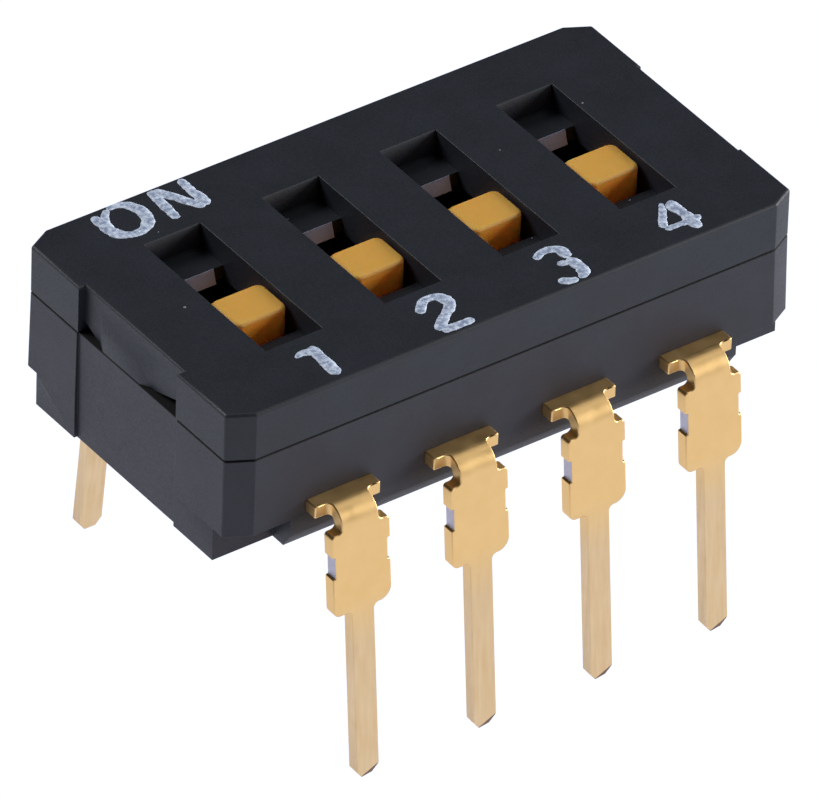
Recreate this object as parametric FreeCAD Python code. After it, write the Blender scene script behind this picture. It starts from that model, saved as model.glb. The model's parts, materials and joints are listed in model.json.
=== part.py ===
import FreeCAD, Part
import math
import os

# Slide DIP switch: a cover with one slot per pole, a base with one cavity per pole,
# sliders with sprung moving contacts, and two rows of bent terminals.
# Millimetres. X runs along the row of poles, Y towards the ON side, Z up.
# The origin is the centre of the base underside; the legs reach below it.

V = FreeCAD.Vector

# Housing
pole_count = 4
pole_pitch = 2.54
end_margin = 1.0
body_width = 6.48
body_height = 3.3
cover_height = 1.0
corner_along = 0.48
corner_across = 0.26
edge_radius = 0.07
seam_bevel = 0.03

# Cover
plate_thickness = 0.78
rim_thickness = 0.55
rim_clearance = 0.04
cover_recess_width = 3.0
left_recess_depth = 0.15
right_recess_depth = 0.05
on_opening_width = 0.46
on_opening_height = 0.21
off_opening_width = 0.93
off_opening_height = 0.29
panel_height = 0.7
panel_ramp = 0.25

# Slots and slider travel
slot_centre = 0.05
slot_width = 1.2
slot_shelf_length = 0.71
slot_shelf_depth = 0.49
slot_edge_bevel = 0.02
throat_end_gap = 0.23
slider_travel = 0.96
stop_clearance = 0.03

# Base
base_draft_deg = 0.8
base_recess_width = 3.06
base_recess_depth = 0.04
foot_height = 0.68
foot_side_inset = 0.52
foot_end_margin = 1.26
foot_bevel_height = 0.34
foot_bevel_inset = 0.22
cavity_wall = 0.5

# Slider
knob_width = 1.12
knob_length = 0.88
knob_recess = 0.1
knob_top_radius = 0.07
knob_side_radius = 0.17
shoe_length = 2.3
shoe_side_clearance = 0.05
shoe_top_clearance = 0.03
shoe_floor_clearance = 0.04
channel_width = 1.3
channel_roof = 0.62
peg_radius = 0.15
peg_length = 0.09
peg_clearance = 0.02

# Moving contact
spring_thickness = 0.1
spring_width = 1.0
spring_flat_length = 0.9
spring_shoulder_radius = 0.16
spring_toe_radius = 0.2
spring_finger_gap = 0.24
spring_floor_clearance = 0.02

# Terminals. The crossbar's reach and the bend set the rows 7.62 apart where the legs start.
crossbar_reach = 0.296
metal_thickness = 0.25
metal_top = 1.0
bend_inner_radius = 0.15
front_splay_deg = 5.0
rear_splay_deg = 6.0
shank_width = 0.8
crossbar_width = 1.39
neck_width = 0.78
pad_width = 1.23
pad_top = 0.55
pad_height = 1.68
pad_shoulder_radius = 0.07
pad_toe_radius = 0.25
pad_tight_toe_radius = 0.13
root_radius = 0.1
nick_height = 0.44
nick_depth = 0.055
nick_drop = 0.44
leg_width = 0.48
leg_reach = 4.67
tip_height = 0.17
tip_size = 0.24
contact_width = 1.2
front_contact_edge = -0.15
rear_contact_edge = 0.9

# Worked out from the sizes above
body_length = pole_count * pole_pitch + 2 * end_margin
half_length = body_length / 2
half_width = body_width / 2
parting = body_height - cover_height
plate_bottom = body_height - plate_thickness
# The base's walls lean outwards as they go down, to where the foot starts.
base_flare = (parting - foot_height) * math.tan(math.radians(base_draft_deg))
throat_length = slider_travel + knob_length + 2 * throat_end_gap
slot_length = throat_length + 2 * slot_shelf_length
cavity_width = pole_pitch - cavity_wall
shoe_width = cavity_width - 2 * shoe_side_clearance
# The shoe's ends meet the ends of its cavity before the knob meets the ends of the throat.
cavity_length = slider_travel + shoe_length + 2 * stop_clearance
slider_rest = slot_centre - slider_travel / 2
# The toes stay inside the ends of the shoe that they ride under.
spring_toe_spacing = shoe_length - 2 * (spring_toe_radius + spring_thickness)
channel_top = plate_bottom - shoe_top_clearance - channel_roof
bend_start = half_width + crossbar_reach


def block(x0, x1, y0, y1, z0, z1):
    return Part.makeBox(x1 - x0, y1 - y0, z1 - z0, V(x0, y0, z0))


def centred_block(x, y, length, width, z0, z1):
    return block(x - length / 2, x + length / 2, y - width / 2, y + width / 2, z0, z1)


def flat_face(points):
    return Part.Face(Part.makePolygon(points + [points[0]]))


def prism(points, sweep):
    """A flat outline, closed and swept along a vector."""
    return flat_face(points).extrude(sweep)


def edges_where(shape, test):
    return [edge for edge in shape.Edges if test(edge.BoundBox)]


def upright(box):
    return box.ZLength > 1e-4 and box.XLength < 1e-4 and box.YLength < 1e-4


def pole_x(index):
    return (index - (pole_count - 1) / 2) * pole_pitch


def plan_corners(inset, z):
    """The housing's plan, a rectangle with its corners cut, drawn in by an inset."""
    x = half_length - inset
    y = half_width - inset
    return [V(x - corner_along, y, z), V(x, y - corner_across, z), V(x, corner_across - y, z),
            V(x - corner_along, -y, z), V(corner_along - x, -y, z), V(-x, corner_across - y, z),
            V(-x, y - corner_across, z), V(corner_along - x, y, z)]


def body_outline(inset, z0, z1):
    return prism(plan_corners(inset, z0), V(0, 0, z1 - z0))


def sewn_solid(low, high):
    """Flat faces between two outlines with as many corners, sewn to a solid."""
    walls = [flat_face([low[i - 1], high[i - 1], high[i], low[i]]) for i in range(len(low))]
    skin = Part.makeShell(walls + [flat_face(low), flat_face(high)])
    skin.sewShape()
    return Part.makeSolid(skin)


def rounded_outline(z0, z1, flare=0.0):
    """The housing's walls between two heights, leaning outwards by a flare at the lower one."""
    solid = sewn_solid(plan_corners(-flare, z0), plan_corners(0, z1))
    return solid.makeFillet(edge_radius, edges_where(solid, lambda box: box.ZLength > (z1 - z0) / 2))


def end_recesses(width, left_depth, right_depth, z0, z1):
    """Shallow flats in the middle of both ends."""
    outer = half_length + base_flare
    left = block(-outer, left_depth - half_length, -width / 2, width / 2, z0, z1)
    right = block(half_length - right_depth, outer, -width / 2, width / 2, z0, z1)
    return [left, right]


def seam_opening(side, width, height):
    """A wedge through the rim at the left end, where a lower corner of the recess is cut away."""
    y = side * cover_recess_width / 2
    wedge = [(y, parting), (y - side * width, parting), (y, parting + height)]
    return prism([V(-half_length, y, z) for y, z in wedge], V(rim_thickness, 0, 0))


def name_panel():
    """A blank panel between the openings: level with the base below, ramped at its other edges."""
    low = left_recess_depth - half_length
    high = base_recess_depth - half_length
    y0 = off_opening_width - cover_recess_width / 2
    y1 = cover_recess_width / 2 - on_opening_width
    foot = [V(low, y0, parting), V(low, y1, parting), V(low, y1, parting + panel_height),
            V(low, y0, parting + panel_height)]
    crown = [V(high, y0 + panel_ramp, parting), V(high, y1 - panel_ramp, parting),
             V(high, y1 - panel_ramp, parting + panel_height - panel_ramp),
             V(high, y0 + panel_ramp, parting + panel_height - panel_ramp)]
    return sewn_solid(foot, crown)


def slot_cut(x):
    """A shallow slot with a shelf at each end and a throat through the plate between them."""
    y = slot_centre
    pocket = centred_block(x, y, slot_width, slot_length, body_height - slot_shelf_depth, body_height)
    throat = centred_block(x, y, slot_width, throat_length, plate_bottom, body_height)
    return pocket.fuse(throat).removeSplitter()


def slot_mouth(box):
    """Top edges that belong to a slot, inside the cover's own rim."""
    on_top = abs(box.ZMin - body_height) < 1e-4 and abs(box.ZMax - body_height) < 1e-4
    half = slot_length / 2 + 1e-3
    return on_top and box.YMin > slot_centre - half and box.YMax < slot_centre + half


def cover():
    solid = rounded_outline(parting, body_height)
    solid = solid.cut(end_recesses(cover_recess_width, left_recess_depth, right_recess_depth,
                                   parting, body_height))
    solid = solid.makeFillet(edge_radius, edges_where(solid, lambda box: box.ZMin > body_height - 1e-4))
    solid = solid.makeChamfer(seam_bevel, edges_where(solid, lambda box: box.ZMax < parting + 1e-4))
    solid = solid.fuse(name_panel()).removeSplitter()
    solid = solid.cut(body_outline(rim_thickness, parting, plate_bottom))
    solid = solid.cut([seam_opening(1, on_opening_width, on_opening_height),
                       seam_opening(-1, off_opening_width, off_opening_height)])
    solid = solid.cut([slot_cut(pole_x(i)) for i in range(pole_count)])
    return solid.makeChamfer(slot_edge_bevel, edges_where(solid, slot_mouth))


def base_foot():
    """Below the corners the base narrows at its ends; between them it keeps its width
    and ends in a bevel."""
    long = body_length + 2 * base_flare
    ends = centred_block(0, 0, long, body_width - 2 * foot_side_inset, 0, foot_height)
    x = half_length - foot_end_margin
    y = half_width + base_flare
    toe = y - foot_bevel_inset
    side = [(-toe, 0), (toe, 0), (y, foot_bevel_height), (y, foot_height), (-y, foot_height),
            (-y, foot_bevel_height)]
    middle = prism([V(-x, y, z) for y, z in side], V(2 * x, 0, 0))
    return ends.fuse(middle)


def base(terminals):
    recesses = end_recesses(base_recess_width, base_recess_depth, base_recess_depth, 0, parting)
    upper = rounded_outline(foot_height, parting, base_flare)
    upper = upper.makeChamfer(seam_bevel, edges_where(upper, lambda box: box.ZMin > parting - 1e-4))
    lip = body_outline(rim_thickness + rim_clearance, parting, plate_bottom)
    solid = upper.fuse([base_foot(), lip]).cut(recesses).removeSplitter()
    cavities = [centred_block(pole_x(i), slot_centre, cavity_width, cavity_length, metal_top, plate_bottom)
                for i in range(pole_count)]
    return solid.cut(cavities + terminals)


def slider():
    """A knob on a channel-shaped shoe that runs under the cover's plate."""
    y = slider_rest
    shoe_top = plate_bottom - shoe_top_clearance
    shoe_bottom = metal_top + shoe_floor_clearance
    shoe = centred_block(0, y, shoe_width, shoe_length, shoe_bottom, shoe_top)
    shoe = shoe.cut(centred_block(0, y, channel_width, shoe_length, shoe_bottom, channel_top))
    knob_top = body_height - knob_recess
    knob = centred_block(0, y, knob_width, knob_length, channel_top, knob_top)
    knob = knob.makeFillet(knob_side_radius, edges_where(knob, upright))
    crown = edges_where(knob, lambda box: box.ZMin > knob_top - 1e-4)
    knob = knob.makeFillet(knob_top_radius, crown)
    peg = Part.makeCylinder(peg_radius, spring_thickness + peg_length,
                            V(0, y, channel_top - spring_thickness - peg_length))
    return shoe.fuse([knob, peg]).removeSplitter()


def moving_contact():
    """A sprung strip: a flat under the shoe's roof and two arms that end in rounded toes."""
    y = slider_rest
    half = spring_thickness / 2
    flat_z = channel_top - half
    toe_y = spring_toe_spacing / 2
    toe_z = metal_top + spring_floor_clearance + half + spring_toe_radius
    knee_y = spring_flat_length / 2
    knee_z = flat_z - spring_shoulder_radius
    # The arm is the common tangent of the shoulder arc and the toe arc.
    run = toe_y - knee_y
    fall = knee_z - toe_z
    reach = math.hypot(run, fall)
    drop = math.atan2(fall, run) + math.asin((spring_shoulder_radius + spring_toe_radius) / reach)

    def arc_point(cy, cz, radius, angle, side):
        return V(0, y + side * (cy + radius * math.cos(angle)), cz + radius * math.sin(angle))

    def arm(side):
        lean = math.pi / 2 - drop
        knee = Part.Arc(arc_point(knee_y, knee_z, spring_shoulder_radius, math.pi / 2, side),
                        arc_point(knee_y, knee_z, spring_shoulder_radius, math.pi / 2 - drop / 2, side),
                        arc_point(knee_y, knee_z, spring_shoulder_radius, lean, side)).toShape()
        start = arc_point(toe_y, toe_z, spring_toe_radius, lean + math.pi, side)
        toe = Part.Arc(start,
                       arc_point(toe_y, toe_z, spring_toe_radius, -math.pi / 2, side),
                       arc_point(toe_y, toe_z, spring_toe_radius, -math.pi / 6, side)).toShape()
        shank = Part.makeLine(knee.Vertexes[-1].Point, start)
        return [knee, shank, toe]

    flat = Part.makeLine(V(0, y - knee_y, flat_z), V(0, y + knee_y, flat_z))
    path = Part.Wire(Part.__sortEdges__(arm(-1) + [flat] + arm(1)))
    ends = [path.OrderedVertexes[0].Point, path.OrderedVertexes[1].Point]
    first = path.OrderedEdges[0]
    tangent = first.tangentAt(first.FirstParameter)
    if tangent.dot(ends[1] - ends[0]) < 0:
        tangent = tangent * -1
    across = V(1, 0, 0)
    normal = tangent.cross(across).normalize() * half
    side = across * (spring_width / 2)
    corners = [ends[0] + normal + side, ends[0] + normal - side,
               ends[0] - normal - side, ends[0] - normal + side]
    section = Part.makePolygon(corners + [corners[0]])
    strip = path.makePipeShell([section], True, False)
    finger_y = knee_y + spring_shoulder_radius
    finger_end = toe_y + spring_toe_radius + spring_thickness
    splits = [block(-spring_finger_gap / 2, spring_finger_gap / 2, y + a, y + b, metal_top, body_height)
              for a, b in ((finger_y, finger_end), (-finger_end, -finger_y))]
    hole = Part.makeCylinder(peg_radius + peg_clearance, body_height, V(0, y, 0))
    return strip.cut(splits + [hole])


def bent_strip(contact_edge, splay_deg):
    """Side view of a terminal, outward along +Y: flat, bend, splayed leg with a coined tip."""
    splay = math.radians(splay_deg)
    outer = bend_inner_radius + metal_thickness
    down = V(0, math.sin(splay), -math.cos(splay))
    out = V(0, math.cos(splay), math.sin(splay))
    middle = bend_inner_radius + metal_thickness / 2
    centre = V(0, bend_start, metal_top - outer)
    mid_angle = (math.pi / 2 + splay) / 2

    def on_bend(radius, angle):
        return centre + V(0, radius * math.cos(angle), radius * math.sin(angle))

    tip_length = (leg_reach + centre.z + middle * math.sin(splay)) / math.cos(splay)
    tip = centre + out * middle + down * tip_length
    shoulder = tip - down * tip_height
    half = metal_thickness / 2
    top_start = V(0, contact_edge, metal_top)
    low_start = V(0, contact_edge, metal_top - metal_thickness)
    points = [on_bend(outer, splay), shoulder + out * half, tip + out * (tip_size / 2),
              tip - out * (tip_size / 2), shoulder - out * half, on_bend(bend_inner_radius, splay)]
    outline = [Part.makeLine(top_start, on_bend(outer, math.pi / 2)),
               Part.Arc(on_bend(outer, math.pi / 2), on_bend(outer, mid_angle),
                        on_bend(outer, splay)).toShape()]
    outline += [Part.makeLine(a, b) for a, b in zip(points, points[1:])]
    outline += [Part.Arc(on_bend(bend_inner_radius, splay), on_bend(bend_inner_radius, mid_angle),
                         on_bend(bend_inner_radius, math.pi / 2)).toShape(),
                Part.makeLine(on_bend(bend_inner_radius, math.pi / 2), low_start),
                Part.makeLine(low_start, top_start)]
    widest = max(crossbar_width, pad_width, contact_width)
    strip = Part.Face(Part.Wire(outline)).extrude(V(widest, 0, 0))
    strip.translate(V(-widest / 2, 0, 0))
    return strip


def terminal_blank(contact_edge):
    """Front and plan outlines of a terminal: contact, shank, crossbar, neck, pad and leg."""
    # A leg's length past the bend is further out than a splayed leg ever gets.
    far = bend_start + leg_reach
    contact_end = slot_centre + cavity_length / 2
    half_contact = contact_width / 2
    half_shank = shank_width / 2
    half_bar = crossbar_width / 2
    contact = block(-half_contact, half_contact, contact_edge, contact_end, 0, body_height)
    shank = block(-half_shank, half_shank, contact_end, half_width, 0, body_height)
    crossbar = block(-half_bar, half_bar, half_width, bend_start, 0, body_height)
    neck = block(-neck_width / 2, neck_width / 2, bend_start, far, pad_top - pad_toe_radius, body_height)
    pad_bottom = pad_top - pad_height
    pad = block(-pad_width / 2, pad_width / 2, bend_start, far, pad_bottom, pad_top)
    deep = lambda box: box.YLength > 1e-3
    low = lambda box: deep(box) and box.ZMax < pad_bottom + 1e-4
    high = lambda box: deep(box) and box.ZMin > pad_top - 1e-4
    pad = pad.makeFillet(pad_toe_radius, edges_where(pad, lambda box: low(box) and box.XMax < 0))
    pad = pad.makeFillet(pad_tight_toe_radius, edges_where(pad, lambda box: low(box) and box.XMin > 0))
    pad = pad.makeFillet(pad_shoulder_radius, edges_where(pad, high))
    nick_top = pad_top - nick_drop
    nicks = [block(s * pad_width / 2 - nick_depth, s * pad_width / 2 + nick_depth, 0, far,
                   nick_top - nick_height, nick_top) for s in (-1, 1)]
    half_leg = leg_width / 2
    half_tip = tip_size / 2
    taper_top = tip_height - leg_reach
    leg_points = [(-half_leg, pad_bottom + pad_toe_radius), (half_leg, pad_bottom + pad_toe_radius),
                  (half_leg, taper_top), (half_tip, -leg_reach), (-half_tip, -leg_reach),
                  (-half_leg, taper_top)]
    leg = prism([V(a, bend_start, b) for a, b in leg_points], V(0, far - bend_start, 0))
    blank = contact.fuse([shank, crossbar, neck, pad.cut(nicks), leg]).removeSplitter()

    def inner_corner(box):
        at_crossbar = upright(box) and abs(box.YMin - bend_start) < 1e-4 and box.ZMin > pad_top - 1e-4
        at_neck = deep(box) and abs(box.ZMax - pad_top) < 1e-4
        at_leg = deep(box) and abs(box.ZMin - pad_bottom) < 1e-4
        near = max(abs(box.XMin), abs(box.XMax)) < neck_width / 2 + 1e-4
        return near and box.XLength < 1e-4 and (at_crossbar or at_neck or at_leg)

    return blank.makeFillet(root_radius, edges_where(blank, inner_corner))


def terminal(contact_edge, splay_deg):
    strip = bent_strip(contact_edge, splay_deg)
    return strip.common(terminal_blank(contact_edge)).removeSplitter()


def placed(shape, x, turn_deg=0):
    copy = shape.copy()
    copy.rotate(V(0, 0, 0), V(0, 0, 1), turn_deg)
    copy.translate(V(x, 0, 0))
    return copy


def one_solid(shape):
    """The single solid that a boolean result holds."""
    if len(shape.Solids) != 1:
        raise ValueError("expected one solid, found %d" % len(shape.Solids))
    return shape.Solids[0]


def build():
    slide = slider()
    spring = moving_contact()
    front = terminal(-front_contact_edge, front_splay_deg)
    rear = terminal(rear_contact_edge, rear_splay_deg)
    nodes = {"cover": cover()}
    terminals = []
    for i in range(pole_count):
        number = i + 1
        nodes["slider_%d" % number] = placed(slide, pole_x(i))
        nodes["moving_contact_%d" % number] = placed(spring, pole_x(i))
        nodes["front_terminal_%d" % number] = placed(front, pole_x(i), 180)
        nodes["rear_terminal_%d" % number] = placed(rear, pole_x(i))
        terminals += [nodes["front_terminal_%d" % number], nodes["rear_terminal_%d" % number]]
    nodes["base"] = base(terminals)
    return nodes


os.makedirs("parts", exist_ok=True)
for name, shape in build().items():
    one_solid(shape).exportStep("parts/%s.step" % name)
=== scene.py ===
import json
import math

import bmesh
import bpy
from mathutils import Matrix, Vector, noise


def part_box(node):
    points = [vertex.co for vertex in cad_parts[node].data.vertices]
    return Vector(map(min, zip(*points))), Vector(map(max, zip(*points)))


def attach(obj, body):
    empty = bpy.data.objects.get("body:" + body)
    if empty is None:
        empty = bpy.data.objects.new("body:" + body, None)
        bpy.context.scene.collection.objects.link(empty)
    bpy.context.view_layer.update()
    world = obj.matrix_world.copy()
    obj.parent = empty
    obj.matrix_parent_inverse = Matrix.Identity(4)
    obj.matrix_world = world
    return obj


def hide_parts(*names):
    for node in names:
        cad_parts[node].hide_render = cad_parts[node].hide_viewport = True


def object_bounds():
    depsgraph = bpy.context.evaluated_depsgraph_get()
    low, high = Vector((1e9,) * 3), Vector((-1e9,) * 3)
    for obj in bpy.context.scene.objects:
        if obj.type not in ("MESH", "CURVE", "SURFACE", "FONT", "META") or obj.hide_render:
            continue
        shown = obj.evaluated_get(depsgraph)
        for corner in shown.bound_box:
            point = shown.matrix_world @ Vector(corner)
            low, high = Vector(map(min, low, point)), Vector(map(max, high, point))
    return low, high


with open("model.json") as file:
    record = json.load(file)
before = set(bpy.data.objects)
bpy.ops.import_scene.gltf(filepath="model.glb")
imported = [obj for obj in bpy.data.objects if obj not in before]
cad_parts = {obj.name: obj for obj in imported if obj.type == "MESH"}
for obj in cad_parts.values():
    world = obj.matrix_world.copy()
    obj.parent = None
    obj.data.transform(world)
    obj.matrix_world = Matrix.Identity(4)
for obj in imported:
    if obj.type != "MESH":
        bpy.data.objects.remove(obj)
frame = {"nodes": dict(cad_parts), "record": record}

# A four-position slide DIP switch on a pale table: black moulded housing, amber slides,
# gold-plated terminals and printed marks. Lengths are metres, built up from millimetres.
MM = 0.001
MICRON = 1e-6

cad_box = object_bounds()
cover_low, cover_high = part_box("cover")
COVER_TOP = cover_high.z
FOOT = cad_box[0].z
SLIDES = sorted(name for name in frame["nodes"] if name.startswith("slider_"))
SPRINGS = sorted(name for name in frame["nodes"] if name.startswith("moving_contact_"))
TERMINALS = sorted(name for name in frame["nodes"] if "_terminal_" in name)
SEAM = cover_low.z
POLE_X = [sum(corner.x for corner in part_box(name)) / 2 for name in SLIDES]
KNOB_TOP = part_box("slider_1")[1].z


# Colour and node helpers

def colour(code):
    """An sRGB hex code as linear red, green, blue and full alpha."""
    parts = [int(code[i:i + 2], 16) / 255 for i in (1, 3, 5)]
    linear = [c / 12.92 if c <= 0.04045 else ((c + 0.055) / 1.055) ** 2.4 for c in parts]
    return (*linear, 1.0)


def per_mm(size_mm):
    """The scale that makes a pattern repeat about once in a length given in millimetres."""
    return 1 / (size_mm * MM)


def add(tree, kind, inputs=None, **settings):
    """Adds a node. An input is given a number, a colour or another node's output."""
    made = tree.nodes.new(kind)
    for name, value in settings.items():
        setattr(made, name, value)
    for name, value in (inputs or {}).items():
        if isinstance(value, bpy.types.NodeSocket):
            tree.links.new(value, made.inputs[name])
        else:
            made.inputs[name].default_value = value
    return made


def start_material(name):
    """An empty material with its tree, its Object coordinates and its output node."""
    material = bpy.data.materials.new(name)
    material.use_nodes = True
    tree = material.node_tree
    tree.nodes.clear()
    coordinates = add(tree, "ShaderNodeTexCoord").outputs["Object"]
    output = add(tree, "ShaderNodeOutputMaterial")
    return material, tree, coordinates, output


# Finishes

# Heights or distances over which one finish turns into another: full, then none
JOINT_PAINTED_SHADE = 0.014 * MM, 0.034 * MM
KNOB_PAINTED_SIDES = KNOB_TOP - 0.14 * MM, KNOB_TOP - 0.02 * MM
LEG_PALING = -1.9 * MM, -0.9 * MM


def moulded_black(name, body_code, pale_code):
    """Glass-filled thermoplastic polyester, injection moulded in a spark-eroded tool: near black
    with a cool cast, a fine even grain, and slightly paler clouds where the skin is glassy. Along
    the joint between cover and base it is duller, and darker with painted shade."""
    material, tree, coordinates, output = start_material(name)
    clouds = add(tree, "ShaderNodeTexNoise", {"Vector": coordinates, "Scale": per_mm(0.9),
                                              "Detail": 4.0, "Roughness": 0.6})
    cloud_mix = add(tree, "ShaderNodeMapRange", {"Value": clouds.outputs["Fac"], "From Min": 0.35,
                                                 "From Max": 0.7})
    base = add(tree, "ShaderNodeMix", {"Factor": cloud_mix.outputs["Result"], "A": colour(body_code),
                                       "B": colour(pale_code)}, data_type="RGBA")
    # Real grain is near 0.01 mm; it is drawn three times coarser so that it shows.
    grain = add(tree, "ShaderNodeTexNoise", {"Vector": coordinates, "Scale": per_mm(0.035),
                                             "Detail": 2.0, "Roughness": 0.5})
    gloss = add(tree, "ShaderNodeMapRange", {"Value": grain.outputs["Fac"], "From Min": 0.3,
                                             "From Max": 0.7, "To Min": 0.46, "To Max": 0.6})
    bump = add(tree, "ShaderNodeBump", {"Height": grain.outputs["Fac"], "Strength": 0.25,
                                        "Distance": 3 * MICRON})
    place = add(tree, "ShaderNodeSeparateXYZ", {"Vector": coordinates})
    # Painted shade: the colour turns near black in a band along the joint between cover and base, where
    # shade falls; the band is also duller.
    above = add(tree, "ShaderNodeMath", {0: place.outputs["Z"], 1: SEAM}, operation="SUBTRACT")
    away = add(tree, "ShaderNodeMath", {0: above.outputs["Value"]}, operation="ABSOLUTE")
    joint_shade = add(tree, "ShaderNodeMapRange", {"Value": away.outputs["Value"],
                                            "From Min": JOINT_PAINTED_SHADE[0], "From Max": JOINT_PAINTED_SHADE[1],
                                            "To Min": 1.0, "To Max": 0.0})
    shaded_joint = add(tree, "ShaderNodeMix", {"Factor": joint_shade.outputs["Result"], "A": base.outputs["Result"],
                                        "B": colour("#040405")}, data_type="RGBA")
    dull = add(tree, "ShaderNodeMath", {0: joint_shade.outputs["Result"], 1: 0.4, 2: gloss.outputs["Result"]},
               operation="MULTIPLY_ADD")
    shader = add(tree, "ShaderNodeBsdfPrincipled", {"Base Color": shaded_joint.outputs["Result"],
                                                    "Roughness": dull.outputs["Value"],
                                                    "IOR": 1.5, "Specular IOR Level": 0.4,
                                                    "Normal": bump.outputs["Normal"]})
    tree.links.new(shader.outputs["BSDF"], output.inputs["Surface"])
    return material


def moulded_amber():
    """Amber thermoplastic polyester, moulded and faintly translucent, with soft mottling. Its colour
    is paler on the top of the knob and deeper and redder down its sides: painted light and shade."""
    material, tree, coordinates, output = start_material("moulded_amber")
    mottle = add(tree, "ShaderNodeTexNoise", {"Vector": coordinates, "Scale": per_mm(0.25),
                                              "Detail": 3.0})
    # Painted light and shade: the top of the knob gets a paler colour than its sides, which turn deeper
    # orange lower down.
    painted_lit_top = add(tree, "ShaderNodeMix", {"Factor": mottle.outputs["Fac"], "A": colour("#d19f4a"),
                                         "B": colour("#cb9a44")}, data_type="RGBA")
    place = add(tree, "ShaderNodeSeparateXYZ", {"Vector": coordinates})
    height = add(tree, "ShaderNodeMapRange", {"Value": place.outputs["Z"],
                                              "From Min": KNOB_PAINTED_SIDES[0], "From Max": KNOB_PAINTED_SIDES[1]})
    base = add(tree, "ShaderNodeMix", {"Factor": height.outputs["Result"], "A": colour("#fca433"),
                                       "B": painted_lit_top.outputs["Result"]}, data_type="RGBA")
    bump = add(tree, "ShaderNodeBump", {"Height": mottle.outputs["Fac"], "Strength": 0.2,
                                        "Distance": 4 * MICRON})
    shader = add(tree, "ShaderNodeBsdfPrincipled", {"Base Color": base.outputs["Result"],
                                                    "Roughness": 0.5, "IOR": 1.5,
                                                    "Specular IOR Level": 0.5,
                                                    "Subsurface Weight": 0.4,
                                                    "Subsurface Radius": (1.0, 0.3, 0.06),
                                                    "Subsurface Scale": 0.5 * MM,
                                                    "Normal": bump.outputs["Normal"]})
    tree.links.new(shader.outputs["BSDF"], output.inputs["Surface"])
    return material


def plated_gold():
    """Flash gold over nickel on rolled bronze strip: pale warm metal, satin from the rolling, with
    faint lines along the strip, and paler down the legs."""
    material, tree, coordinates, output = start_material("plated_gold")
    rolling = add(tree, "ShaderNodeTexNoise", {"Vector": coordinates, "Scale": per_mm(0.3),
                                               "Detail": 3.0})
    drawn = add(tree, "ShaderNodeMapping", {"Vector": coordinates, "Scale": (1.0, 1.0, 0.03)})
    lines = add(tree, "ShaderNodeTexNoise", {"Vector": drawn.outputs["Vector"], "Scale": per_mm(0.08),
                                             "Detail": 2.0})
    upper_gold = add(tree, "ShaderNodeMix", {"Factor": rolling.outputs["Fac"], "A": colour("#deb675"),
                                        "B": colour("#e9c68c")}, data_type="RGBA")
    paler = add(tree, "ShaderNodeMix", {"Factor": lines.outputs["Fac"], "A": colour("#cfae7f"),
                                       "B": colour("#e0c7a0")}, data_type="RGBA")
    place = add(tree, "ShaderNodeSeparateXYZ", {"Vector": coordinates})
    height = add(tree, "ShaderNodeMapRange", {"Value": place.outputs["Z"],
                                              "From Min": LEG_PALING[0],
                                              "From Max": LEG_PALING[1]})
    base = add(tree, "ShaderNodeMix", {"Factor": height.outputs["Result"], "A": paler.outputs["Result"],
                                       "B": upper_gold.outputs["Result"]}, data_type="RGBA")
    rough = add(tree, "ShaderNodeMapRange", {"Value": rolling.outputs["Fac"], "From Min": 0.3,
                                             "From Max": 0.7, "To Min": 0.4, "To Max": 0.5})
    shader = add(tree, "ShaderNodeBsdfPrincipled", {"Base Color": base.outputs["Result"],
                                                    "Metallic": 1.0,
                                                    "Roughness": rough.outputs["Result"]})
    tree.links.new(shader.outputs["BSDF"], output.inputs["Surface"])
    return material


def sheared_bronze():
    """Bronze left bare where the strip was cut to length after plating: dull brown and torn."""
    material, tree, coordinates, output = start_material("sheared_bronze")
    tearing = add(tree, "ShaderNodeTexNoise", {"Vector": coordinates, "Scale": per_mm(0.05),
                                               "Detail": 3.0})
    base = add(tree, "ShaderNodeMix", {"Factor": tearing.outputs["Fac"], "A": colour("#574439"),
                                       "B": colour("#7a6456")}, data_type="RGBA")
    bump = add(tree, "ShaderNodeBump", {"Height": tearing.outputs["Fac"], "Strength": 0.4,
                                        "Distance": 4 * MICRON})
    shader = add(tree, "ShaderNodeBsdfPrincipled", {"Base Color": base.outputs["Result"],
                                                    "Roughness": 0.8, "IOR": 1.5,
                                                    "Specular IOR Level": 0.2,
                                                    "Normal": bump.outputs["Normal"]})
    tree.links.new(shader.outputs["BSDF"], output.inputs["Surface"])
    return material


def scraped_nickel():
    """Nickel under the gold, laid bare where a tool scraped the strip: cool grey, in fine scratches."""
    material, tree, coordinates, output = start_material("scraped_nickel")
    scratches = add(tree, "ShaderNodeTexNoise", {"Vector": coordinates, "Scale": per_mm(0.06),
                                                 "Detail": 3.0})
    base = add(tree, "ShaderNodeMix", {"Factor": scratches.outputs["Fac"], "A": colour("#a09da9"),
                                       "B": colour("#c2becb")}, data_type="RGBA")
    shader = add(tree, "ShaderNodeBsdfPrincipled", {"Base Color": base.outputs["Result"],
                                                    "Metallic": 1.0, "Roughness": 0.5})
    tree.links.new(shader.outputs["BSDF"], output.inputs["Surface"])
    return material


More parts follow.
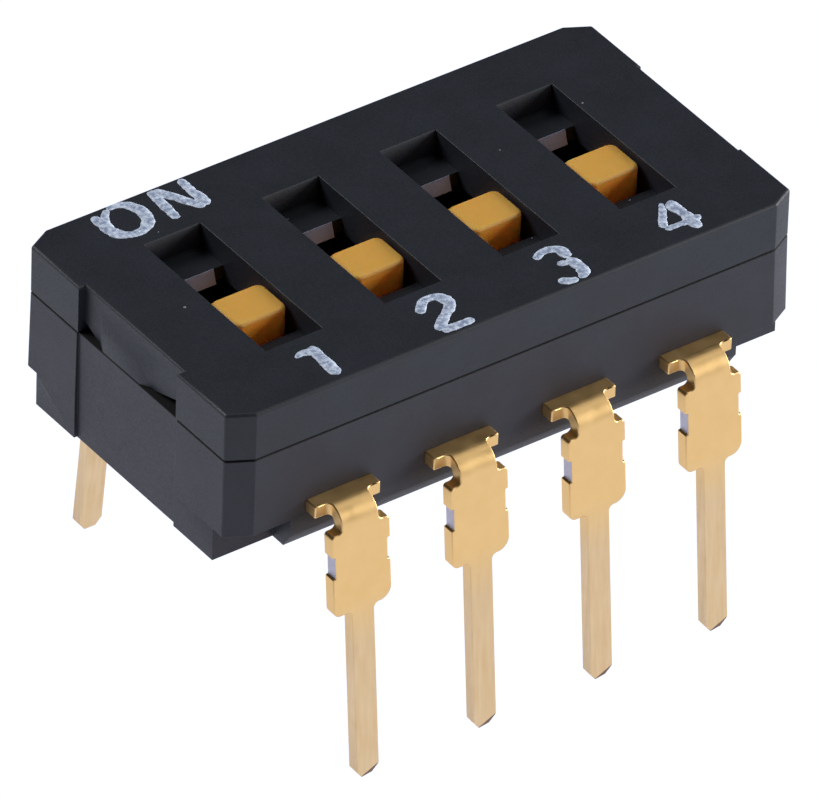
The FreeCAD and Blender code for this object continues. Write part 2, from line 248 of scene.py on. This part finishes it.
def printing_ink():
    """Two-part pad-printing ink, bluish white and thin, so the black shows through in flecks; it is
    whiter at the sides of a stroke, where the pad squeezed it out."""
    material, tree, coordinates, output = start_material("printing_ink")
    flecks = add(tree, "ShaderNodeTexNoise", {"Vector": coordinates, "Scale": per_mm(0.1),
                                              "Detail": 3.0, "Roughness": 0.7})
    squeezed = add(tree, "ShaderNodeAttribute", attribute_name="squeezed_out")
    cover = add(tree, "ShaderNodeMath", {0: squeezed.outputs["Fac"], 1: 0.22, 2: flecks.outputs["Fac"]},
                operation="MULTIPLY_ADD")
    paler = add(tree, "ShaderNodeMapRange", {"Value": cover.outputs["Value"], "From Min": 0.42,
                                            "From Max": 0.72})
    base = add(tree, "ShaderNodeMix", {"Factor": paler.outputs["Result"], "A": colour("#7d8aa5"),
                                       "B": colour("#d3dff2")}, data_type="RGBA")
    shader = add(tree, "ShaderNodeBsdfPrincipled", {"Base Color": base.outputs["Result"],
                                                    "Roughness": 0.6, "IOR": 1.5})
    tree.links.new(shader.outputs["BSDF"], output.inputs["Surface"])
    return material


def settled_dust():
    """Household dust: dull, grey white and slightly mottled."""
    material, tree, coordinates, output = start_material("settled_dust")
    mottle = add(tree, "ShaderNodeTexNoise", {"Vector": coordinates, "Scale": per_mm(0.03)})
    base = add(tree, "ShaderNodeMix", {"Factor": mottle.outputs["Fac"], "A": colour("#6f737c"),
                                       "B": colour("#a9adb6")}, data_type="RGBA")
    shader = add(tree, "ShaderNodeBsdfPrincipled", {"Base Color": base.outputs["Result"],
                                                    "Roughness": 0.9, "IOR": 1.45})
    tree.links.new(shader.outputs["BSDF"], output.inputs["Surface"])
    return material


def lit_table_top():
    """Opal acrylic lit evenly and coolly from below, which leaves no shadow."""
    material, tree, coordinates, output = start_material("opal_acrylic")
    shader = add(tree, "ShaderNodeEmission", {"Color": colour("#f0f3ff"), "Strength": TABLE_RADIANCE})
    tree.links.new(shader.outputs["Emission"], output.inputs["Surface"])
    return material


# Pieces taken over from the solids

WELD = 0.2 * MICRON
SAME_PLANE = math.radians(0.5)
# An edge that turns less than this is shaded round, and a sharper one is eased.
ROUNDING = math.radians(50)
SEAM_BEVEL = 0.035 * MM

# The slice off a leg's tip: the length of leg that is measured, where the slice starts, and the way
# it faces
TIP_HEIGHT = 0.25 * MM
SLICE_BEFORE_MIDDLE = 0.16 * MM
SLICE_HEIGHT = 0.05 * MM
SLICE_FACING = 0.14, 0.95, -0.27

# The bottoms of the nicks in the sides of a pad
NICK_Z = -0.4 * MM, 0.14 * MM
NICK_FROM_MIDDLE = 0.56 * MM
NICK_SLACK = 10 * MICRON
SIDEWAYS = 0.9


def link(name, mesh):
    piece = bpy.data.objects.new(name, mesh)
    bpy.context.scene.collection.objects.link(piece)
    return piece


def cut_tip(bm, material_index):
    """Slices the outer lower corner off a leg's tip, where the cutting tool left the strip."""
    low = min(vertex.co.z for vertex in bm.verts)
    tip = [vertex.co for vertex in bm.verts if vertex.co.z < low + TIP_HEIGHT]
    outside = max((place.y for place in tip), key=abs)
    middle = (max(place.x for place in tip) + min(place.x for place in tip)) / 2
    facing = Vector((SLICE_FACING[0], math.copysign(SLICE_FACING[1], outside), SLICE_FACING[2]))
    bmesh.ops.bisect_plane(bm, geom=bm.verts[:] + bm.edges[:] + bm.faces[:], dist=0.01 * MICRON,
                           plane_co=(middle - SLICE_BEFORE_MIDDLE, outside, low + SLICE_HEIGHT),
                           plane_no=facing, clear_outer=True)
    rim = [edge for edge in bm.edges if edge.is_boundary]
    for face in bmesh.ops.contextual_create(bm, geom=rim)["faces"]:
        face.material_index = material_index


def scrape_nicks(bm, material_index):
    """Gives the bottoms of the nicks in a pad's sides the finish of bare plating under the gold."""
    middle = (max(vertex.co.x for vertex in bm.verts) + min(vertex.co.x for vertex in bm.verts)) / 2
    for face in bm.faces:
        centre = face.calc_center_median()
        inside = abs(abs(centre.x - middle) - NICK_FROM_MIDDLE) < NICK_SLACK
        if inside and abs(face.normal.x) > SIDEWAYS and NICK_Z[0] < centre.z < NICK_Z[1]:
            face.material_index = material_index


def finished(node, materials, ease=0.0):
    """A copy of a solid with its triangles merged to clean faces, its rounds shaded smooth and, when an
    ease is given, its sharp edges eased. The bevel along the seam stays flat, so that the walls beside
    it do too. The copy stands for the solid."""
    mesh = bpy.data.meshes.new(node + "_finish")
    bm = bmesh.new()
    bm.from_mesh(frame["nodes"][node].data)
    bmesh.ops.remove_doubles(bm, verts=bm.verts, dist=WELD)
    bmesh.ops.dissolve_limit(bm, angle_limit=SAME_PLANE, verts=bm.verts, edges=bm.edges)
    if "_terminal_" in node:
        cut_tip(bm, 1)
        scrape_nicks(bm, 2)
    for face in bm.faces:
        face.smooth = True
    for edge in bm.edges:
        one_finish = len({face.material_index for face in edge.link_faces}) == 1
        at_seam = all(abs(vertex.co.z - SEAM) < SEAM_BEVEL for vertex in edge.verts)
        edge.smooth = edge.calc_face_angle(0) < ROUNDING and one_finish and not at_seam
    bm.to_mesh(mesh)
    bm.free()
    for material in materials:
        mesh.materials.append(material)
    piece = link(node + "_finish", mesh)
    if ease:
        bevel = piece.modifiers.new("eased edges", "BEVEL")
        bevel.width = ease
        bevel.segments = 2
        bevel.limit_method = "ANGLE"
        bevel.angle_limit = ROUNDING
        bevel.miter_outer = "MITER_ARC"
    shading = piece.modifiers.new("flat faces, smooth rounds", "WEIGHTED_NORMAL")
    shading.keep_sharp = True
    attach(piece, body_of_node(node))
    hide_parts(node)
    return piece


def body_of_node(node):
    return next(body for body, nodes in frame["record"]["behaviour"]["bodies"].items() if node in nodes)


# Printed marks: strokes along the middle of each line of ink, as (x, y, half width) in millimetres
# from the middle of the cover, x along the poles and y towards the ON side.
MARKS = {
    "mark_on": [
        [(-4.37, 3.12, 0.06), (-4.51, 2.98, 0.075), (-4.61, 2.83, 0.1), (-4.67, 2.7, 0.13),
         (-4.66, 2.53, 0.13), (-4.59, 2.38, 0.125), (-4.45, 2.29, 0.105), (-4.28, 2.26, 0.1),
         (-4.12, 2.3, 0.105), (-3.97, 2.42, 0.115), (-3.9, 2.58, 0.12), (-3.88, 2.75, 0.12),
         (-3.92, 2.9, 0.12), (-4, 3.04, 0.11), (-4.13, 3.12, 0.085), (-4.27, 3.14, 0.07),
         (-4.37, 3.12, 0.06)],
        [(-4.67, 3.09, 0.07), (-4.7, 2.93, 0.1), (-4.69, 2.75, 0.12)],
        [(-3.41, 3.17, 0.11), (-3.44, 2.92, 0.105), (-3.46, 2.53, 0.1), (-3.48, 2.22, 0.095)],
        [(-3.35, 3.15, 0.08), (-3.27, 2.97, 0.11), (-3.16, 2.78, 0.1), (-3.04, 2.55, 0.1),
         (-2.93, 2.38, 0.11), (-2.83, 2.28, 0.13)],
        [(-2.79, 3.17, 0.09), (-2.79, 2.98, 0.09), (-2.8, 2.75, 0.095), (-2.78, 2.53, 0.11),
         (-2.81, 2.33, 0.14), (-2.83, 2.29, 0.14)],
    ],
    "mark_1": [
        [(-4.1, -2.28, 0.04), (-4, -2.24, 0.07), (-3.86, -2.24, 0.1), (-3.75, -2.3, 0.12)],
        [(-3.68, -2.14, 0.075), (-3.71, -2.27, 0.11), (-3.73, -2.52, 0.12), (-3.74, -2.77, 0.13),
         (-3.76, -3.02, 0.12), (-3.77, -3.07, 0.1)],
    ],
    "mark_2": [
        [(-1.54, -2.42, 0.085), (-1.44, -2.29, 0.1), (-1.31, -2.16, 0.095), (-1.16, -2.13, 0.085),
         (-1.01, -2.17, 0.105), (-0.94, -2.3, 0.125), (-0.94, -2.44, 0.12), (-1.03, -2.56, 0.11),
         (-1.16, -2.66, 0.1), (-1.31, -2.77, 0.1), (-1.44, -2.89, 0.115), (-1.54, -3.01, 0.11)],
        [(-1.52, -3.05, 0.08), (-1.34, -3.04, 0.1), (-1.15, -3.05, 0.09), (-0.97, -3.05, 0.09),
         (-0.85, -3.04, 0.09)],
    ],
    "mark_3": [
        [(1.07, -2.24, 0.08), (1.21, -2.14, 0.085), (1.36, -2.11, 0.09), (1.5, -2.14, 0.1),
         (1.6, -2.24, 0.12), (1.6, -2.36, 0.12), (1.58, -2.49, 0.11)],
        [(1.31, -2.52, 0.06), (1.39, -2.57, 0.085), (1.53, -2.59, 0.09)],
        [(1.57, -2.49, 0.1), (1.59, -2.68, 0.12), (1.6, -2.84, 0.12), (1.57, -2.98, 0.115),
         (1.48, -3.06, 0.085), (1.41, -3.1, 0.05)],
        [(1.03, -2.95, 0.085), (1.13, -3.02, 0.1), (1.24, -3.07, 0.085), (1.38, -3.09, 0.06)],
    ],
    "mark_4": [
        [(3.9, -2.08, 0.035), (3.81, -2.25, 0.07), (3.69, -2.42, 0.075), (3.58, -2.58, 0.08),
         (3.51, -2.71, 0.08)],
        [(4.07, -2.1, 0.09), (4.03, -2.27, 0.14), (4.05, -2.45, 0.11), (4.07, -2.62, 0.11),
         (4.05, -2.78, 0.14), (4.04, -2.95, 0.12), (4.02, -3.04, 0.08)],
        [(3.51, -2.76, 0.07), (3.66, -2.76, 0.065), (3.82, -2.77, 0.065), (4.02, -2.77, 0.1),
         (4.17, -2.76, 0.09), (4.27, -2.73, 0.035)],
    ],
}
INK_THICKNESS = 12 * MICRON
INK_STEP = 0.02 * MM
# How far the ink's outline strays along X and Y, over what length in millimetres, and how far apart
# in the noise the two are read
RAGGED = 0.014 * MM
RAGGED_LENGTH = 0.08
OTHER_WAY = Vector((37.2, 11.6, 5.3))
# The share by which a stroke's width varies, over what length in millimetres, and the least share
# of it that is left at its ends
WAVER = 0.12
WAVER_LENGTH = 0.2
LEAST_AT_END = 0.05

# The cover's rounded edge, and how near to the outside the ink reaches
COVER_HALF_WIDTH = cover_high.y
COVER_ROUND = 0.07 * MM
INK_REACH = COVER_HALF_WIDTH - 5 * MICRON

# The end of each throat on the ON side
THROAT_END = 1.2 * MM
RAMP_Z = 2.53 * MM, 2.81 * MM
RAMP_WIDTH = 0.8 * MM
RAMP_DEPTH = 0.1 * MM
RAMP_EDGE = 5 * MICRON

# Flakes of dust as (x, y, depth below the top, radius) in millimetres, and how they are flattened
FLAKE_SHAPE = 1.0, 0.7, 0.3
DUST = [(-4.87, -0.0, 0, 0.028), (4.52, 1.13, 0, 0.02), (-3.99, 2.08, 0, 0.016), (2.46, 0.78, 0, 0.016),
        (3.91, -1.17, 0.49, 0.024), (1.8, -1.14, 0.49, 0.02), (-1.47, 1.69, 0.49, 0.02)]


def on_cover(name, mesh, material):
    """A piece that lies on the cover or in its slots."""
    mesh.materials.append(material)
    piece = link(name, mesh)
    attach(piece, "housing")


def along(points, step):
    """Points at even steps on a smooth line through the given ones."""
    path = [Vector(point) * MM for point in points]
    ends = [path[0] * 2 - path[1]] + path + [path[-1] * 2 - path[-2]]
    line = []
    for before, start, finish, after in zip(ends, ends[1:], ends[2:], ends[3:]):
        pull = (finish - before) / 6, (after - start) / 6
        count = max(2, round((finish - start).length / step))
        for i in range(count):
            t = i / count
            s = 1 - t
            line.append(start * s ** 3 + (start + pull[0]) * 3 * s * s * t
                        + (finish - pull[1]) * 3 * s * t * t + finish * t ** 3)
    return line + [path[-1]]


def ink_curve(name, strokes):
    """Round beads along the strokes, closed round at both ends, with a slight waver."""
    curve = bpy.data.curves.new(name, "CURVE")
    curve.dimensions = "3D"
    curve.bevel_depth = 1.0
    curve.bevel_resolution = 4
    for points in strokes:
        line = along(points, INK_STEP)
        spline = curve.splines.new("POLY")
        spline.points.add(len(line) - 1)
        travelled = 0.0
        length = sum((b - a).length for a, b in zip(line, line[1:]))
        for i, place in enumerate(line):
            travelled += (place - line[i - 1]).length if i else 0.0
            from_end = min(travelled, length - travelled) / place.z
            round_off = math.sqrt(max(0.0, 1 - (1 - min(1.0, from_end)) ** 2))
            waver = 1 + WAVER * noise.noise(place * per_mm(WAVER_LENGTH))
            spline.points[i].co = (place.x, place.y, 0, 1)
            spline.points[i].radius = place.z * max(LEAST_AT_END, round_off) * waver
    return curve


def drop_at_rim(y):
    """How far the cover's rounded top edge has fallen away at a distance along Y."""
    over = min(max(0.0, abs(y) - (COVER_HALF_WIDTH - COVER_ROUND)), COVER_ROUND)
    return COVER_ROUND - math.sqrt(COVER_ROUND ** 2 - over ** 2)


def ink_mark(name, strokes, material):
    """Ink pressed flat on the cover, ragged at its sides and thicker there than in the middle."""
    shape = bpy.data.objects.new(name + "_line", ink_curve(name, strokes))
    mesh = bpy.data.meshes.new_from_object(shape)
    bpy.data.objects.remove(shape)
    mesh.name = name
    squeezed = mesh.attributes.new("squeezed_out", "FLOAT", "POINT")
    for vertex, store in zip(mesh.vertices, squeezed.data):
        store.value = 1 - abs(vertex.normal.z)
    widest = max(abs(vertex.co.z) for vertex in mesh.vertices)
    for vertex in mesh.vertices:
        at = vertex.co * per_mm(RAGGED_LENGTH)
        x = vertex.co.x + noise.noise(at) * RAGGED
        y = vertex.co.y + noise.noise(at + OTHER_WAY) * RAGGED
        y = max(-INK_REACH, min(INK_REACH, y))
        height = vertex.co.z / widest * INK_THICKNESS + COVER_TOP - drop_at_rim(y)
        vertex.co = (x, y, height)
    mesh.materials.clear()
    mesh.shade_smooth()
    on_cover(name, mesh, material)


def throat_ramp(pole, material):
    """The small ramp at the end of a throat, under the shelf on the ON side, in a pale colour that is
    painted light: a block against the wall with its upper edge pushed back."""
    low, high = RAMP_Z
    bm = bmesh.new()
    bmesh.ops.create_cube(bm, size=1.0)
    bmesh.ops.scale(bm, vec=(RAMP_WIDTH, RAMP_DEPTH, high - low), verts=bm.verts)
    bmesh.ops.translate(bm, vec=(POLE_X[pole], THROAT_END - RAMP_DEPTH / 2, (low + high) / 2),
                        verts=bm.verts)
    front = THROAT_END - RAMP_DEPTH
    upper = [vertex for vertex in bm.verts
             if vertex.co.z > low + MICRON and vertex.co.y < front + MICRON]
    bmesh.ops.translate(bm, vec=(0, RAMP_DEPTH - RAMP_EDGE, 0), verts=upper)
    mesh = bpy.data.meshes.new("throat_ramp")
    bm.to_mesh(mesh)
    bm.free()
    on_cover(f"throat_ramp_{pole + 1}", mesh, material)


def dust(material):
    """Flakes of pale dust lying on the cover and on the shelves in its slots."""
    bm = bmesh.new()
    for x, y, depth, radius in DUST:
        flake = bmesh.ops.create_icosphere(bm, subdivisions=2, radius=radius * MM)["verts"]
        bmesh.ops.scale(bm, vec=FLAKE_SHAPE, verts=flake)
        bmesh.ops.translate(bm, vec=(x * MM, y * MM, COVER_TOP - depth * MM), verts=flake)
    mesh = bpy.data.meshes.new("dust")
    bm.to_mesh(mesh)
    bm.free()
    mesh.shade_smooth()
    on_cover("dust", mesh, material)


# The part

black_cover = moulded_black("moulded_black_cover", "#181c24", "#1e222b")
black_base = moulded_black("moulded_black_base", "#1f1f27", "#272731")
# A pale grey blue that stands for the lit spot under each shelf: painted light.
painted_light_patch = moulded_black("painted_light_patch", "#a0aece", "#acbada")
amber = moulded_amber()
gold = plated_gold()
bare_bronze = sheared_bronze()
bare_nickel = scraped_nickel()
ink = printing_ink()

finished("cover", [black_cover])
finished("base", [black_base], ease=0.02 * MM)
for node in SLIDES:
    finished(node, [amber])
for node in SPRINGS:
    finished(node, [gold])
for node in TERMINALS:
    finished(node, [gold, bare_bronze, bare_nickel], ease=0.02 * MM)
for pole in range(len(POLE_X)):
    throat_ramp(pole, painted_light_patch)
dust(settled_dust())
for name, strokes in MARKS.items():
    ink_mark(name, strokes, ink)


# Table, light and camera

TABLE_HALF_SIZE = 600 * MM
TABLE_RADIANCE = 1.15
SOFTBOX_SIZE = 250 * MM
SOFTBOX_DISTANCE = 500 * MM


def table():
    mesh = bpy.data.meshes.new("table")
    bm = bmesh.new()
    bmesh.ops.create_grid(bm, x_segments=1, y_segments=1, size=TABLE_HALF_SIZE,
                          matrix=Matrix.Translation((0, 0, FOOT)))
    bm.to_mesh(mesh)
    bm.free()
    mesh.materials.append(lit_table_top())
    link("table", mesh)


def softbox(name, azimuth_deg, elevation_deg, radiance):
    """A square area light that faces the part. Azimuth runs from X towards Y; radiance 1 is white."""
    lamp = bpy.data.lights.new(name, "AREA")
    lamp.shape = "SQUARE"
    lamp.size = SOFTBOX_SIZE
    lamp.energy = radiance * math.pi * SOFTBOX_SIZE ** 2
    turn = (Matrix.Rotation(math.radians(azimuth_deg + 90), 4, "Z")
            @ Matrix.Rotation(math.radians(90 - elevation_deg), 4, "X"))
    holder = bpy.data.objects.new(name, lamp)
    bpy.context.scene.collection.objects.link(holder)
    holder.matrix_world = turn @ Matrix.Translation((0, 0, SOFTBOX_DISTANCE))


def surroundings(radiance):
    world = bpy.data.worlds.new("studio")
    world.use_nodes = True
    world.node_tree.nodes["Background"].inputs["Color"].default_value = (1, 1, 1, 1)
    world.node_tree.nodes["Background"].inputs["Strength"].default_value = radiance
    bpy.context.scene.world = world


CAMERA_AZIMUTH = math.radians(-36.587)
CAMERA_ELEVATION = math.radians(36.802)
CAMERA_ROLL = math.radians(1.929)
CAMERA_DISTANCE = 270.39 * MM
CAMERA_AIM = Vector((-1.114, -1.577, 0.72)) * MM
LENS_MM = 677.5
SENSOR_MM = 36.0


def camera():
    """A long lens at the photograph's angle, with its slight tilt."""
    data = bpy.data.cameras.new("camera")
    data.sensor_fit = "HORIZONTAL"
    data.sensor_width = SENSOR_MM
    data.lens = LENS_MM
    data.clip_start = 10 * MM
    turn = (Matrix.Rotation(CAMERA_AZIMUTH, 4, "Z")
            @ Matrix.Rotation(math.pi / 2 - CAMERA_ELEVATION, 4, "X")
            @ Matrix.Rotation(CAMERA_ROLL, 4, "Z"))
    holder = bpy.data.objects.new("camera", data)
    back = turn @ Vector((0, 0, 1))
    holder.matrix_world = Matrix.Translation(CAMERA_AIM + back * CAMERA_DISTANCE) @ turn
    bpy.context.scene.collection.objects.link(holder)
    bpy.context.scene.camera = holder


table()
surroundings(0.03)
softbox("right_softbox", -20, 15, 17.0)
softbox("back_left_softbox", 130, 40, 9.4)
softbox("front_softbox", -80, 25, 1.0)
softbox("high_softbox", 0, 68, 1.6)
camera()
bpy.context.scene.view_settings.view_transform = "Standard"
